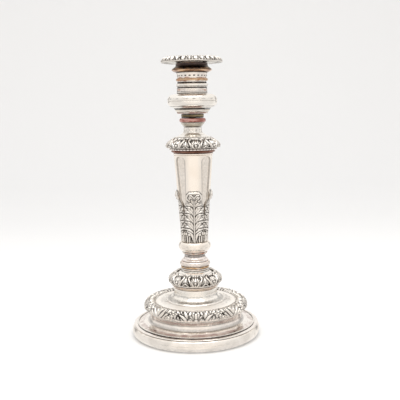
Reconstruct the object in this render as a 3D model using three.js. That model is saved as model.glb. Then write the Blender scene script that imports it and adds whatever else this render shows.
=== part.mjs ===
// Table candlestick in old fused plate: sheet copper faced with silver, spun and stamped
// in short sections, with cast leaf borders, a loaded foot and a loose nozzle.
// Millimetres, +Z up, origin on the table under the middle of the foot.
import * as THREE from "three";

// ---------------------------------------------------------------- driving dimensions
const GAP = 0.3; // air between neighbouring pieces
const WALL = 1.0; // plated sheet
const TURN_STEPS = 24; // facets round a plain turned piece
const COLLAR_STEPS = 32; // facets round a leafy collar
const BORDER_STEPS = 48; // facets round a leafy border
const MOTIFS = 8; // leaf motifs round each border

const FELT_RADIUS = 65.0;
const FELT_THICKNESS = 1.2;
const CARD_THICKNESS = 0.9;
const LOADING_TOP = 36.6;

const ROD_RADIUS = 3.2; // iron rod up the middle of the stem
const ROD_TOP = 244.0;

const COLUMN_BOTTOM = 105.1;
const COLUMN_TOP = 201.0;
const COLUMN_WALL = 2.3;
const COLUMN_FACES = 4;
const FACE_HALF_WIDTH = 8.9; // each raised face keeps this width all the way down
const FLUTE_DEPTH = 1.1;
const FLUTE_ARCH_FOOT = 193.6;
const FLUTE_ARCH_TOP = 199.8;

const LEAF_BOTTOM = 105.5;
const LEAF_TOP = 163.0;
const LEAF_CLEARANCE = 0.4;

const CANDLE_BORE_RADIUS = 11.2; // takes a candle 22 mm thick
const NOZZLE_TUBE_WALL = 0.9;
const NOZZLE_TUBE_BOTTOM = 266.0;
const NOZZLE_TUBE_TOP = 299.4;
const LINER_RADIUS = 12.6; // inside of the socket, 0.5 mm clear of the nozzle tube
const LINER_WALL = 0.9;
const LINER_BOTTOM = 249.2;
const LINER_FLOOR = 250.4;
const LINER_TOP = 291.6;

// ---------------------------------------------------------------- finishes
const SILVER = { color: 0xd9d0c4, roughness: 0.22, metalness: 1.0 };
const LEAF_SILVER = { color: 0xcfc3b2, roughness: 0.3, metalness: 1.0 };
const WORN_COPPER = { color: 0xa8694a, roughness: 0.3, metalness: 1.0 };
const WARM_SILVER = { color: 0xcdb093, roughness: 0.26, metalness: 1.0 };
const TUBE_SILVER = { color: 0xb8b0a6, roughness: 0.35, metalness: 1.0 };
const IRON = { color: 0x4c4a48, roughness: 0.7, metalness: 0.7 };
const PITCH = { color: 0x1d1713, roughness: 0.8, metalness: 0.0 };
const CARD = { color: 0x8b7656, roughness: 0.9, metalness: 0.0 };
const BAIZE = { color: 0x2c4a33, roughness: 0.95, metalness: 0.0 };

// ---------------------------------------------------------------- shared shapes
const candlestick = new THREE.Group();

function addPiece(name, geometry, finish) {
  const piece = new THREE.Mesh(geometry, new THREE.MeshStandardMaterial(finish));
  piece.name = name;
  candlestick.add(piece);
}

/** Straight-line value between [position, value] pairs in rising order of position. */
function valueAt(pairs, position) {
  const last = pairs.length - 1;
  const upper = Math.min(Math.max(pairs.findIndex((pair) => pair[0] >= position), 1), last);
  const index = position >= pairs[last][0] ? last : upper;
  const [fromPosition, fromValue] = pairs[index - 1];
  const [toPosition, toValue] = pairs[index];
  return THREE.MathUtils.mapLinear(position, fromPosition, toPosition, fromValue, toValue);
}

/** Turned solid about the vertical axis. outline: [radius, height] points in order. */
function turned(outline, steps = TURN_STEPS) {
  const points = outline.map(([radius, height]) => new THREE.Vector2(radius, height));
  const startsOnAxis = outline[0][0] === 0;
  if (!startsOnAxis) {
    points.push(points[0].clone());
  }
  const geometry = new THREE.LatheGeometry(points, steps);
  geometry.rotateX(Math.PI / 2);
  return facingOut(geometry);
}

/** Turns the triangles round if the solid came out inside-out. */
function facingOut(geometry) {
  const position = geometry.getAttribute("position");
  const index = geometry.getIndex();
  const corners = [new THREE.Vector3(), new THREE.Vector3(), new THREE.Vector3()];
  let volume = 0;
  for (let start = 0; start < index.count; start += 3) {
    corners.forEach((corner, which) => corner.fromBufferAttribute(position, index.getX(start + which)));
    volume += corners[0].dot(corners[1].clone().cross(corners[2]));
  }
  if (volume < 0) {
    for (let start = 0; start < index.count; start += 3) {
      const second = index.getX(start + 1);
      index.setX(start + 1, index.getX(start + 2));
      index.setX(start + 2, second);
    }
  }
  return geometry;
}

function disc(radius, bottom, top) {
  return turned([[0, bottom], [radius, bottom], [radius, top], [0, top]]);
}

/** Sheet-metal section: the outer line from its foot to its head, thickened inwards. */
function sheet(line, wall = WALL) {
  const inner = line.map(([radius, height], index) => {
    const before = line[Math.max(index - 1, 0)];
    const after = line[Math.min(index + 1, line.length - 1)];
    const along = new THREE.Vector2(after[0] - before[0], after[1] - before[1]).normalize();
    return [radius - wall * along.y, height + wall * along.x];
  });
  return [...line, ...inner.reverse()];
}

/** Closed ring from a loop of points carried round the axis: pointAt(loopIndex, turnIndex). */
function wovenRing(loopCount, turnCount, pointAt) {
  const positions = [];
  const triangles = [];
  for (let turn = 0; turn < turnCount; turn += 1) {
    for (let loop = 0; loop < loopCount; loop += 1) {
      positions.push(...pointAt(loop, turn));
      const here = turn * loopCount + loop;
      const nextInLoop = turn * loopCount + ((loop + 1) % loopCount);
      const nextTurn = ((turn + 1) % turnCount) * loopCount + loop;
      const nextBoth = ((turn + 1) % turnCount) * loopCount + ((loop + 1) % loopCount);
      triangles.push(here, nextInLoop, nextBoth, here, nextBoth, nextTurn);
    }
  }
  return indexed(positions, triangles);
}

function indexed(positions, triangles) {
  const geometry = new THREE.BufferGeometry();
  geometry.setAttribute("position", new THREE.Float32BufferAttribute(positions, 3));
  geometry.setIndex(triangles);
  geometry.computeVertexNormals();
  return facingOut(geometry);
}

function polar(radius, angle, height) {
  return [radius * Math.cos(angle), radius * Math.sin(angle), height];
}

/**
 * Leafy ring: the front line rises and falls with the leaves, the back line stays round.
 * Each front point is moved away from the ring's middle by up to relief.
 */
function leafyRing(front, back, steps, relief) {
  const loop = [...front, ...back];
  const middleRadius = loop.reduce((sum, point) => sum + point[0], 0) / loop.length;
  const middleHeight = loop.reduce((sum, point) => sum + point[1], 0) / loop.length;
  return wovenRing(loop.length, steps, (loopIndex, turnIndex) => {
    const [radius, height] = loop[loopIndex];
    const angle = (2 * Math.PI * turnIndex) / steps;
    const onFront = loopIndex > 0 && loopIndex < front.length - 1;
    const wave = onFront ? -relief * (0.5 - 0.5 * Math.cos(MOTIFS * angle)) : 0;
    const away = new THREE.Vector2(radius - middleRadius, height - middleHeight).normalize();
    return polar(radius + wave * away.x, angle, height + wave * away.y);
  });
}

// ---------------------------------------------------------------- foot
addPiece("felt_pad", disc(FELT_RADIUS, 0, FELT_THICKNESS), BAIZE);

const cardBottom = FELT_THICKNESS + GAP;
const cardTop = cardBottom + CARD_THICKNESS;
addPiece("closing_card", disc(FELT_RADIUS, cardBottom, cardTop), CARD);

// Pitch run into the hollow foot, with a hole for the rod
const rodHole = ROD_RADIUS + GAP;
addPiece("base_loading", turned([
  [rodHole, cardTop + GAP], [FELT_RADIUS, cardTop + GAP], [FELT_RADIUS, 12.2], [49.8, 14.2],
  [48.6, 25.0], [43.6, LOADING_TOP], [rodHole, LOADING_TOP],
]), PITCH);

addPiece("stem_rod", disc(ROD_RADIUS, cardTop + GAP, ROD_TOP), IRON);

// Convex outer band, the only metal that stands on the table
addPiece("foot_rim", turned([
  [65.8, 0], [66.2, 0], [68.3, 0.9], [70.3, 2.6], [71.3, 4.6], [71.5, 6.0], [70.9, 8.6], [69.9, 10.9],
  [68.9, 11.9], [65.8, 12.3],
]), WARM_SILVER);

// Flat rim and the hollow moulding that climbs to the leafy border
addPiece("foot_plate", turned(sheet([
  [69.4, 13.3], [65.0, 14.3], [53.4, 16.3], [51.5, 17.8], [51.0, 20.6], [51.8, 27.2],
])), SILVER);

addPiece("rim_wire", turned([
  [64.2, 14.9], [65.8, 14.7], [66.1, 15.2], [65.0, 15.8], [64.0, 15.4],
]), SILVER);

addPiece("base_border", leafyRing(
  [[51.0, 27.7], [54.4, 28.0], [57.2, 29.6], [58.4, 32.2], [58.0, 35.2], [56.2, 38.2], [53.0, 40.2],
    [48.8, 39.9], [44.9, 38.2]],
  [[46.7, 36.9], [49.6, 30.0]],
  BORDER_STEPS, 1.2,
), LEAF_SILVER);

// Dished plate inside the border, carried down behind it to the hollow moulding
addPiece("base_dish", turned(sheet([
  [50.1, 25.6], [49.0, 28.0], [46.0, 36.4], [43.6, 38.4], [26.0, 39.0],
])), SILVER);

// Trumpet foot of the stem
addPiece("base_spool", turned([
  [33.0, 39.4], [32.0, 40.3], [28.6, 41.9], [25.6, 44.0], [24.3, 46.6], [24.0, 53.2],
  [22.8, 53.2], [23.0, 46.2], [24.6, 42.8], [28.6, 39.4],
]), SILVER);

// ---------------------------------------------------------------- lower stem
addPiece("lower_collar_band", turned([
  [18.0, 53.5], [24.2, 53.5], [25.2, 54.9], [26.9, 57.2], [18.0, 57.2],
]), WORN_COPPER);

addPiece("lower_dome", turned(sheet([
  [24.4, 57.5], [25.9, 59.8], [26.6, 62.3], [24.2, 66.0], [15.8, 71.5], [15.1, 73.3],
])), SILVER);

addPiece("lower_collar", leafyRing(
  [[25.6, 57.5], [27.8, 57.6], [29.7, 59.8], [30.3, 62.4], [29.5, 65.4], [26.6, 68.2], [21.3, 71.5]],
  [[20.2, 69.9], [25.2, 66.5], [27.6, 62.4], [27.0, 59.2]],
  COLLAR_STEPS, 1.0,
), LEAF_SILVER);

// Knop of three rings between the leafy collar and the waist
addPiece("ringed_knop", turned([
  [10.0, 73.7], [15.3, 73.7], [15.0, 75.1], [15.9, 76.3], [15.7, 77.4], [16.6, 79.4], [16.9, 81.5],
  [15.6, 83.2], [10.0, 83.2],
]), WARM_SILVER);

addPiece("column_waist", turned([
  [8.0, 83.5], [15.2, 83.5], [14.9, 84.6], [12.6, 86.4], [11.4, 88.6], [12.0, 90.6], [13.8, 91.7],
  [8.0, 91.7],
]), SILVER);

addPiece("column_foot", turned([
  [8.0, 92.0], [14.0, 92.0], [14.0, 93.8], [16.6, 96.2], [17.9, 99.4], [17.5, 102.6], [16.2, 104.4],
  [15.2, 104.8], [8.0, 104.8],
]), SILVER);

// ---------------------------------------------------------------- column
// Radius of the raised faces by height: set back behind the leaves, then a straight taper
const columnTaper = [[COLUMN_BOTTOM, 12.7], [146.0, 15.9], [153.0, 17.85], [COLUMN_TOP, 21.5]];
const columnRows = [
  COLUMN_BOTTOM, 112.0, 130.0, 146.0, 153.0, 172.0, FLUTE_ARCH_FOOT, 196.6, 198.8, FLUTE_ARCH_TOP,
  COLUMN_TOP,
];
const FLUTE_LEAST_HALF_ANGLE = THREE.MathUtils.degToRad(2);
const FLUTE_SIDE_ANGLE = THREE.MathUtils.degToRad(1);
const QUARTER = (2 * Math.PI) / COLUMN_FACES;

function fluteHalfAngle(height) {
  const faceHalfAngle = Math.asin(Math.min(FACE_HALF_WIDTH / valueAt(columnTaper, height), Math.SQRT1_2));
  const climbed = Math.max(height - FLUTE_ARCH_FOOT, 0) / (FLUTE_ARCH_TOP - FLUTE_ARCH_FOOT);
  const archShare = Math.sqrt(Math.max(1 - climbed * climbed, 0));
  return Math.max((QUARTER / 2 - faceHalfAngle) * archShare, FLUTE_LEAST_HALF_ANGLE);
}

// Eight points serve each quarter: five across the raised face, three in the flute
const POINTS_PER_FACE = 8;

function columnPoint(height, turnIndex, inside) {
  const quarterStart = Math.floor(turnIndex / POINTS_PER_FACE) * QUARTER;
  const flute = fluteHalfAngle(height);
  const face = QUARTER / 2 - flute;
  const angles = [
    -face, -face / 2, 0, face / 2, face, face + FLUTE_SIDE_ANGLE, QUARTER / 2,
    QUARTER - face - FLUTE_SIDE_ANGLE,
  ];
  const which = turnIndex % POINTS_PER_FACE;
  const inFlute = which > 4;
  const fluted = height > COLUMN_BOTTOM && height < FLUTE_ARCH_TOP;
  const depth = inFlute && fluted && !inside ? FLUTE_DEPTH : 0;
  const radius = valueAt(columnTaper, height) - (inside ? COLUMN_WALL : depth);
  return polar(radius, quarterStart + angles[which], height);
}

addPiece("column", wovenRing(columnRows.length + 2, COLUMN_FACES * POINTS_PER_FACE, (loop, turn) => {
  if (loop < columnRows.length) {
    return columnPoint(columnRows[loop], turn, false);
  }
  return columnPoint(loop === columnRows.length ? COLUMN_TOP : COLUMN_BOTTOM, turn, true);
}), SILVER);

// ---------------------------------------------------------------- acanthus leaves
// Outer face and half-width of a leaf by height; the tip curls away from the column
const leafFace = [
  [LEAF_BOTTOM, 14.9], [111.0, 15.1], [122.6, 15.7], [133.8, 16.5], [145.0, 17.4], [150.0, 18.5],
  [154.0, 19.7], [158.0, 20.9], [161.0, 21.2], [LEAF_TOP, 20.9],
];
const leafHalfAngle = [
  [LEAF_BOTTOM, 42], [125.0, 43.5], [140.0, 42], [148.0, 37], [153.0, 29], [158.0, 26], [161.0, 20],
  [LEAF_TOP, 8],
];
const leafRows = [LEAF_BOTTOM, 114.0, 125.0, 136.0, 146.0, 150.0, 154.0, 158.0, 161.0, LEAF_TOP];
const LEAF_COLUMNS = 7; // points across the front, and as many across the back
const LEAF_THICKNESS = 1.0;
const LEAF_EDGE_SET_BACK = 0.35;

/** Closed sheet between two faces: each row is a loop that runs over the front and home by the back. */
function leafSolid(middleAngle) {
  const loopCount = 2 * LEAF_COLUMNS;
  const positions = [];
  for (const height of leafRows) {
    const halfAngle = THREE.MathUtils.degToRad(valueAt(leafHalfAngle, height));
    const frontRadius = valueAt(leafFace, height);
    const seat = valueAt(columnTaper, height) + LEAF_CLEARANCE;
    for (let loop = 0; loop < loopCount; loop += 1) {
      const onFront = loop < LEAF_COLUMNS;
      const column = onFront ? loop : loopCount - 1 - loop;
      const across = (2 * column) / (LEAF_COLUMNS - 1) - 1;
      const front = frontRadius - LEAF_EDGE_SET_BACK * across * across;
      const radius = onFront ? front : Math.max(front - LEAF_THICKNESS, seat);
      positions.push(...polar(radius, middleAngle + across * halfAngle, height));
    }
  }
  const triangles = [];
  for (let row = 0; row < leafRows.length - 1; row += 1) {
    for (let loop = 0; loop < loopCount; loop += 1) {
      const here = row * loopCount + loop;
      const beside = row * loopCount + ((loop + 1) % loopCount);
      triangles.push(here, beside, beside + loopCount, here, beside + loopCount, here + loopCount);
    }
  }
  const lastRow = (leafRows.length - 1) * loopCount;
  for (let column = 0; column < LEAF_COLUMNS - 1; column += 1) {
    const opposite = loopCount - 1 - column;
    triangles.push(column, opposite, opposite - 1, column, opposite - 1, column + 1);
    triangles.push(lastRow + column, lastRow + opposite - 1, lastRow + opposite);
    triangles.push(lastRow + column, lastRow + column + 1, lastRow + opposite - 1);
  }
  return indexed(positions, triangles);
}

["right", "back", "left", "front"].forEach((side, index) => {
  addPiece(`acanthus_leaf_${side}`, leafSolid(index * QUARTER), LEAF_SILVER);
});

// ---------------------------------------------------------------- upper stem
addPiece("column_cap", turned([
  [14.0, 201.3], [21.8, 201.3], [22.1, 202.3], [21.8, 203.3], [14.0, 203.3],
]), WARM_SILVER);

addPiece("upper_collar_bead", turned([
  [14.0, 203.6], [22.8, 203.6], [24.1, 204.5], [24.2, 205.5], [23.4, 206.2], [14.0, 206.2],
]), WORN_COPPER);

addPiece("upper_collar_band", turned([
  [14.0, 206.5], [26.2, 206.5], [26.5, 207.4], [26.0, 208.2], [14.0, 208.2],
]), SILVER);

addPiece("upper_dome", turned(sheet([
  [23.5, 208.6], [25.8, 211.4], [23.4, 215.2], [18.6, 218.3], [13.6, 219.6],
])), SILVER);

addPiece("upper_collar", leafyRing(
  [[24.8, 208.5], [29.1, 208.8], [30.3, 211.3], [28.9, 214.2], [26.0, 216.9], [20.7, 220.2]],
  [[19.8, 218.6], [24.4, 215.5], [26.6, 211.8]],
  COLLAR_STEPS, 0.9,
), LEAF_SILVER);

addPiece("spool_neck", turned([
  [20.4, 220.5], [14.8, 222.4], [11.0, 224.6], [9.9, 227.2], [9.9, 231.2],
  [7.0, 231.2], [7.0, 226.0], [9.6, 222.8], [14.0, 220.5],
]), SILVER);

addPiece("knop_cup", turned([
  [6.0, 231.5], [10.0, 231.5], [10.6, 232.6], [12.2, 234.2], [13.4, 236.0], [6.0, 236.0],
]), SILVER);

addPiece("knop_ring", turned([
  [6.0, 236.3], [13.6, 236.3], [14.5, 237.6], [14.5, 239.3], [13.5, 240.7], [6.0, 240.7],
]), WORN_COPPER);

addPiece("knop_neck", turned([
  [6.0, 241.0], [12.2, 241.0], [12.2, 242.8], [12.7, 243.6], [12.2, 244.4], [12.3, 245.1], [6.0, 245.1],
]), SILVER);

// ---------------------------------------------------------------- socket
addPiece("socket_calyx", turned([
  [6.0, 245.4], [14.5, 245.4], [16.9, 246.0], [17.1, 247.0], [18.4, 248.6], [19.4, 250.5],
  [17.8, 250.5], [16.5, 248.9], [6.0, 248.5],
]), SILVER);

addPiece("socket_bulb_lower", turned([
  [18.4, 250.8], [19.7, 250.8], [22.3, 252.3], [26.0, 254.6], [27.1, 258.8],
  [25.9, 258.8], [24.9, 255.5], [21.6, 253.6], [18.4, 252.2],
]), SILVER);

addPiece("socket_bulb_upper", turned([
  [27.1, 259.1], [26.2, 263.3], [23.4, 265.8], [17.9, 266.9], [14.2, 266.9],
  [14.2, 265.8], [22.0, 264.4], [24.9, 262.3], [25.9, 259.1],
]), SILVER);

const linerOuter = LINER_RADIUS + LINER_WALL;
addPiece("socket_liner", turned([
  [0, LINER_BOTTOM], [linerOuter, LINER_BOTTOM], [linerOuter, LINER_TOP],
  [LINER_RADIUS, LINER_TOP], [LINER_RADIUS, LINER_FLOOR], [0, LINER_FLOOR],
]), TUBE_SILVER);

addPiece("socket_barrel", turned([
  [14.0, 267.2], [16.6, 267.2], [16.6, 272.6], [15.8, 273.8], [15.8, 283.5], [17.1, 289.3],
  [14.0, 289.3],
]), SILVER);

function barrelRing(middleHeight) {
  return turned([
    [16.15, middleHeight - 1.5], [17.0, middleHeight - 1.3], [17.4, middleHeight],
    [17.0, middleHeight + 1.3], [16.15, middleHeight + 1.5],
  ]);
}

addPiece("barrel_ring_lower", barrelRing(276.1), WARM_SILVER);
addPiece("barrel_ring_upper", barrelRing(281.7), WORN_COPPER);

addPiece("socket_lip", turned([
  [14.0, 289.6], [17.3, 289.6], [19.4, 290.1], [21.8, 291.7], [21.6, 292.1], [14.0, 292.1],
]), WORN_COPPER);

// ---------------------------------------------------------------- loose nozzle
addPiece("nozzle_tube", turned([
  [CANDLE_BORE_RADIUS, NOZZLE_TUBE_BOTTOM], [CANDLE_BORE_RADIUS + NOZZLE_TUBE_WALL, NOZZLE_TUBE_BOTTOM],
  [CANDLE_BORE_RADIUS + NOZZLE_TUBE_WALL, NOZZLE_TUBE_TOP], [CANDLE_BORE_RADIUS, NOZZLE_TUBE_TOP],
]), TUBE_SILVER);

// Neck under the pan, flaring to the edge that sits on the socket lip
addPiece("nozzle_collar", turned([
  [17.3, 299.4], [17.3, 297.0], [18.3, 295.2], [21.8, 292.8], [21.8, 292.4],
  [20.2, 292.4], [16.9, 294.9], [16.0, 296.6], [16.0, 299.4],
]), SILVER);

addPiece("nozzle_pan", turned([
  [12.5, 299.8], [24.6, 299.8], [27.0, 301.3], [26.2, 302.5], [24.4, 301.2], [12.5, 300.9],
]), SILVER);

addPiece("nozzle_border", leafyRing(
  [[27.7, 301.4], [31.4, 300.2], [33.0, 299.8], [33.9, 300.7], [33.2, 302.8], [31.2, 304.8],
    [28.6, 306.0], [27.0, 305.2], [26.5, 303.3]],
  [],
  BORDER_STEPS, 0.7,
), LEAF_SILVER);

export default candlestick;
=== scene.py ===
"""Looks of the silver-plated candlestick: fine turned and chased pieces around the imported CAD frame.

Lengths in the tables below are millimetres. An outline point is (inset, rise): how far in from the
CAD node's widest radius, and how far up from its lowest point, so every place comes from the frame.
"""
import math

import bpy
import numpy as np
from mathutils import Matrix, Vector


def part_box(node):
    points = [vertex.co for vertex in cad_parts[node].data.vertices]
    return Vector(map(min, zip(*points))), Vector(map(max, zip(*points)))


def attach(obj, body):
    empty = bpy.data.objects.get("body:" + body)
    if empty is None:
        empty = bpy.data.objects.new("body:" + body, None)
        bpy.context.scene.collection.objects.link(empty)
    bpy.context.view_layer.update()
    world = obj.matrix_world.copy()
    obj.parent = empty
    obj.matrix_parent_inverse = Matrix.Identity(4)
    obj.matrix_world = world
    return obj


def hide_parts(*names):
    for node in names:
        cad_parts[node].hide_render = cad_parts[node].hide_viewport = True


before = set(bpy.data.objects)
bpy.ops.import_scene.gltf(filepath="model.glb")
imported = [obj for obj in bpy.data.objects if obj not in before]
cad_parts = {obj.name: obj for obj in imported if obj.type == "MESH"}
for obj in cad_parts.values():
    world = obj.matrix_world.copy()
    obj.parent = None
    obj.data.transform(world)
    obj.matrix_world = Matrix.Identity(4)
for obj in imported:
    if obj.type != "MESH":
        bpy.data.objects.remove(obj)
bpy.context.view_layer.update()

MM = 0.001
TURNS = 128  # facets round a turned piece
LINE_STEP = 0.45  # spacing of points along an outline
SPAN_SAMPLES = 12  # points worked out on each span of a curve, before even spacing
CORNER_PASSES = 2  # smoothing passes that ease the corners of an outline
BEND_REACH = 0.9  # how far to either side an outline is compared to find hollows and edges
FULL_BEND = 0.22  # bend over that reach that counts in full
TAU = 2 * math.pi
FRONT = -TAU / 4  # angle of the side that faces the camera
STICK = "stick"
NOZZLE = "nozzle"


# ---------------------------------------------------------------- measures from the frame
def place(node):
    """Widest radius, lowest height and highest height of a CAD node, in mm."""
    low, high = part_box(node)
    return high.x / MM, low.z / MM, high.z / MM


# ---------------------------------------------------------------- outlines
def smooth_line(points, step=LINE_STEP):
    """Points spaced along a curve through the given points (straight when there are two)."""
    points = np.array(points, float)
    if len(points) > 2:
        padded = np.vstack([2 * points[0] - points[1], points, 2 * points[-1] - points[-2]])
        spans = []
        for before, start, end, after in zip(padded, padded[1:], padded[2:], padded[3:]):
            share = np.linspace(0, 1, SPAN_SAMPLES, endpoint=False)[:, None]
            spans.append(0.5 * (
                2 * start + (end - before) * share
                + (2 * before - 5 * start + 4 * end - after) * share ** 2
                + (3 * start - before - 3 * end + after) * share ** 3
            ))
        points = np.vstack(spans + [points[-1:]])
    length = np.concatenate([[0], np.cumsum(np.linalg.norm(np.diff(points, axis=0), axis=1))])
    count = max(int(round(length[-1] / step)), 2)
    wanted = np.linspace(0, length[-1], count + 1)
    return np.column_stack([np.interp(wanted, length, points[:, axis]) for axis in range(2)])


def closed_loop(strokes):
    """Joins smooth strokes into one closed outline and eases the corners between them."""
    parts = []
    for index, stroke in enumerate(strokes):
        following = strokes[(index + 1) % len(strokes)][0]
        line = smooth_line(stroke)
        bridge = smooth_line([line[-1], following])
        parts.append(line)
        if np.linalg.norm(line[-1] - np.array(following, float)) > LINE_STEP / 4:
            parts.append(bridge[1:-1])
        else:
            parts[-1] = line[:-1]
    loop = np.vstack(parts)
    for _ in range(CORNER_PASSES):
        loop = 0.25 * np.roll(loop, 1, axis=0) + 0.5 * loop + 0.25 * np.roll(loop, -1, axis=0)
    return loop


def hollow_and_edge(loop):
    """How hollow and how sharp the outline is at each point, each from 0 to 1."""
    steps = max(int(round(BEND_REACH / LINE_STEP)), 1)
    before = np.roll(loop, steps, axis=0)
    after = np.roll(loop, -steps, axis=0)
    along = after - before
    outward = np.column_stack([along[:, 1], -along[:, 0]])
    outward /= np.maximum(np.linalg.norm(outward, axis=1, keepdims=True), 1e-9)
    area = np.sum(loop[:, 0] * np.roll(loop[:, 1], -1) - np.roll(loop[:, 0], -1) * loop[:, 1])
    lift = np.sum(((before + after) / 2 - loop) * outward, axis=1) * math.copysign(1, area)
    return np.clip(lift / FULL_BEND, 0, 1), np.clip(-lift / FULL_BEND, 0, 1)


# ---------------------------------------------------------------- meshes
def grid_faces(rows, columns, wrap_rows):
    """Quads of a grid whose columns always wrap and whose rows wrap when asked."""
    faces = []
    for row in range(rows if wrap_rows else rows - 1):
        upper = (row + 1) % rows
        for column in range(columns):
            beside = (column + 1) % columns
            faces.append((
                row * columns + column, row * columns + beside,
                upper * columns + beside, upper * columns + column,
            ))
    return faces


def facing_out(faces, points):
    """Turns the faces round if the solid is inside-out."""
    corners = points[np.array(faces)]
    volume = np.einsum("ij,ij->i", corners[:, 0], np.cross(corners[:, 1], corners[:, 2])).sum()
    volume += np.einsum("ij,ij->i", corners[:, 0], np.cross(corners[:, 2], corners[:, 3])).sum()
    return [face[::-1] for face in faces] if volume < 0 else faces


def round_axis(reach, angles, level):
    """Points in mm round the axis, row by row."""
    reach, angles, level = np.broadcast_arrays(reach, angles, level)
    return np.stack([reach * np.cos(angles), reach * np.sin(angles), level], axis=2).reshape(-1, 3)


def add_piece(node, points, faces, tarnish_and_shade, wear, material, body=STICK):
    """Fine mesh in place of a CAD node; its per-point values of dark paint (patina in hollows, with painted
    shade and painted dark reflections) and of wear are read by the plate.
    """
    name = node + "_fine"
    mesh = bpy.data.meshes.new(name)
    mesh.from_pydata((points * MM).tolist(), [], facing_out(faces, points))
    for key, values in (("tarnish_and_shade", tarnish_and_shade), ("wear", wear)):
        layer = mesh.attributes.new(key, "FLOAT", "POINT")
        layer.data.foreach_set("value", np.asarray(values, np.float32).ravel())
    mesh.update()
    mesh.validate()
    piece = bpy.data.objects.new(name, mesh)
    bpy.context.scene.collection.objects.link(piece)
    mesh.shade_smooth()
    mesh.materials.append(material)
    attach(piece, body)
    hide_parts(node)


def in_band(levels, low, high):
    """1 where a level lies between low and high, easing to 0 outside."""
    middle, half = (low + high) / 2, (high - low) / 2
    return np.clip(1.5 - np.abs(levels - middle) / half, 0, 1)


def spun(node, strokes, material, body=STICK, turns=TURNS, dirt_and_shade=(), rubbed=(), dots=()):
    """Turned piece in place of a CAD node. strokes: lists of (inset, rise).

    The dark bands (patina in joints and grooves, painted shade and painted dark reflections) and the rubbed
    bands are each (from rise, to rise, amount), and may end with a lean: above 0 the band is stronger at
    the front and back, below 0 at the sides. A band of dots ends with their number.
    """
    radius, bottom, _ = place(node)
    loop = closed_loop([[(radius - inset, bottom + rise) for inset, rise in stroke] for stroke in strokes])
    hollow, edge = hollow_and_edge(loop)
    angles = np.arange(turns) * TAU / turns
    rise = loop[:, 1] - bottom
    tarnish_and_shade = np.repeat(hollow[:, None], turns, axis=1)
    wear = np.repeat(edge[:, None], turns, axis=1)
    for coat, bands in ((tarnish_and_shade, dirt_and_shade), (wear, rubbed)):
        for low, high, amount, *lean in bands:
            round_share = 1 - sum(lean) * np.cos(2 * angles)
            np.maximum(coat, np.outer(amount * in_band(rise, low, high), round_share), out=coat)
    for low, high, amount, count in dots:
        marks = np.clip(0.5 + 1.5 * np.cos(count * angles), 0, 1)
        tarnish_and_shade = np.maximum(tarnish_and_shade, np.outer(amount * in_band(rise, low, high), marks))
    points = round_axis(loop[:, :1], angles, loop[:, 1:])
    faces = grid_faces(len(loop), turns, wrap_rows=True)
    add_piece(node, points, faces, tarnish_and_shade, wear, material, body)


# ---------------------------------------------------------------- relief
def rounded(distance, radius):
    """Height of a round back, from 1 on its crest down to a small step at its edge."""
    return np.sqrt(np.clip(1 - (distance / radius) ** 2, 0.04, 1))


# A shape is (height, inside, groove): its height from 0 to 1, how far inside its edge each point lies
# in mm, and the width in mm of the dark groove round it.
def dome(x, y, at, radius, height=1.0, groove=0.6):
    """Round boss."""
    distance = np.hypot(x - at[0], y - at[1])
    return height * rounded(distance, radius), radius - distance, groove


def blade(x, y, root, tip, width, bend=0.0, height=1.0, vein=0.35, lift=0.3, groove=0.7):
    """Leaf finger from root to tip: bent spine, rounded back, vein down the middle, tip raised."""
    run = (tip[0] - root[0], tip[1] - root[1])
    length = math.hypot(*run)
    along = ((x - root[0]) * run[0] + (y - root[1]) * run[1]) / length ** 2
    across = ((y - root[1]) * run[0] - (x - root[0]) * run[1]) / length
    share = np.clip(along, 0, 1)
    half_width = width * np.sin(math.pi * (0.06 + 0.94 * share) ** 0.8) ** 0.6 + 1e-6
    offset = np.abs(across - bend * np.sin(math.pi * share)) / half_width
    back = 0.2 + 0.8 * np.sqrt(np.clip(1 - offset ** 2, 0, 1))
    hollow = 1 - vein * np.exp(-(offset / 0.22) ** 2)
    inside = half_width * (1 - offset)
    inside = np.minimum(inside, np.minimum(along, 1 - along) * length + 0.3)
    return height * back * hollow * (1 - lift + lift * share), inside, groove


def ridge(x, y, path, width, height=1.0, groove=0.6):
    """Rounded ridge along a line of points."""
    nearest = np.full(np.shape(x), np.inf)
    for start, end in zip(path, path[1:]):
        run = (end[0] - start[0], end[1] - start[1])
        share = ((x - start[0]) * run[0] + (y - start[1]) * run[1]) / (run[0] ** 2 + run[1] ** 2)
        share = np.clip(share, 0, 1)
        gap = (x - start[0] - share * run[0]) ** 2 + (y - start[1] - share * run[1]) ** 2
        nearest = np.minimum(nearest, gap)
    distance = np.sqrt(nearest)
    return height * rounded(distance, width), width - distance, groove


def scroll(x, y, at, radius, start, width, turns=1.4):
    """Ridge that winds in to a point, like the end of a C-scroll."""
    turn = np.linspace(0, turns * TAU, 24)
    size = radius * (1 - 0.85 * turn / turn[-1])
    path = np.column_stack([at[0] + size * np.cos(start + turn), at[1] + size * np.sin(start + turn)])
    return ridge(x, y, path, width, 0.95)


def fan(x, y, root, reach, spread, fingers, width, lean=0.0, bend=0.0, droop=0.22, groove=0.6):
    """Fingers spreading from one root, outer ones laid first."""
    shapes = []
    for share in sorted(np.linspace(-1, 1, fingers), key=lambda share: -abs(share)):
        angle = math.radians(lean + spread * share)
        length = reach * (1 - droop * share * share)
        tip = (root[0] + length * math.sin(angle), root[1] + length * math.cos(angle))
        tall = 1 - 0.12 * abs(share)
        shapes.append(blade(x, y, root, tip, width, bend=bend * share, height=tall, groove=groove))
    return shapes


PETALS = 5


def flower(x, y, at, radius):
    """Petals round a boss."""
    shapes = []
    for petal in range(PETALS):
        angle = TAU * petal / PETALS + 0.3
        tip = (at[0] + radius * math.cos(angle), at[1] + radius * math.sin(angle))
        shapes.append(blade(x, y, at, tip, radius * 0.42, height=0.9, lift=0.1))
    return shapes + [dome(x, y, at, radius * 0.3)]


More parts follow.
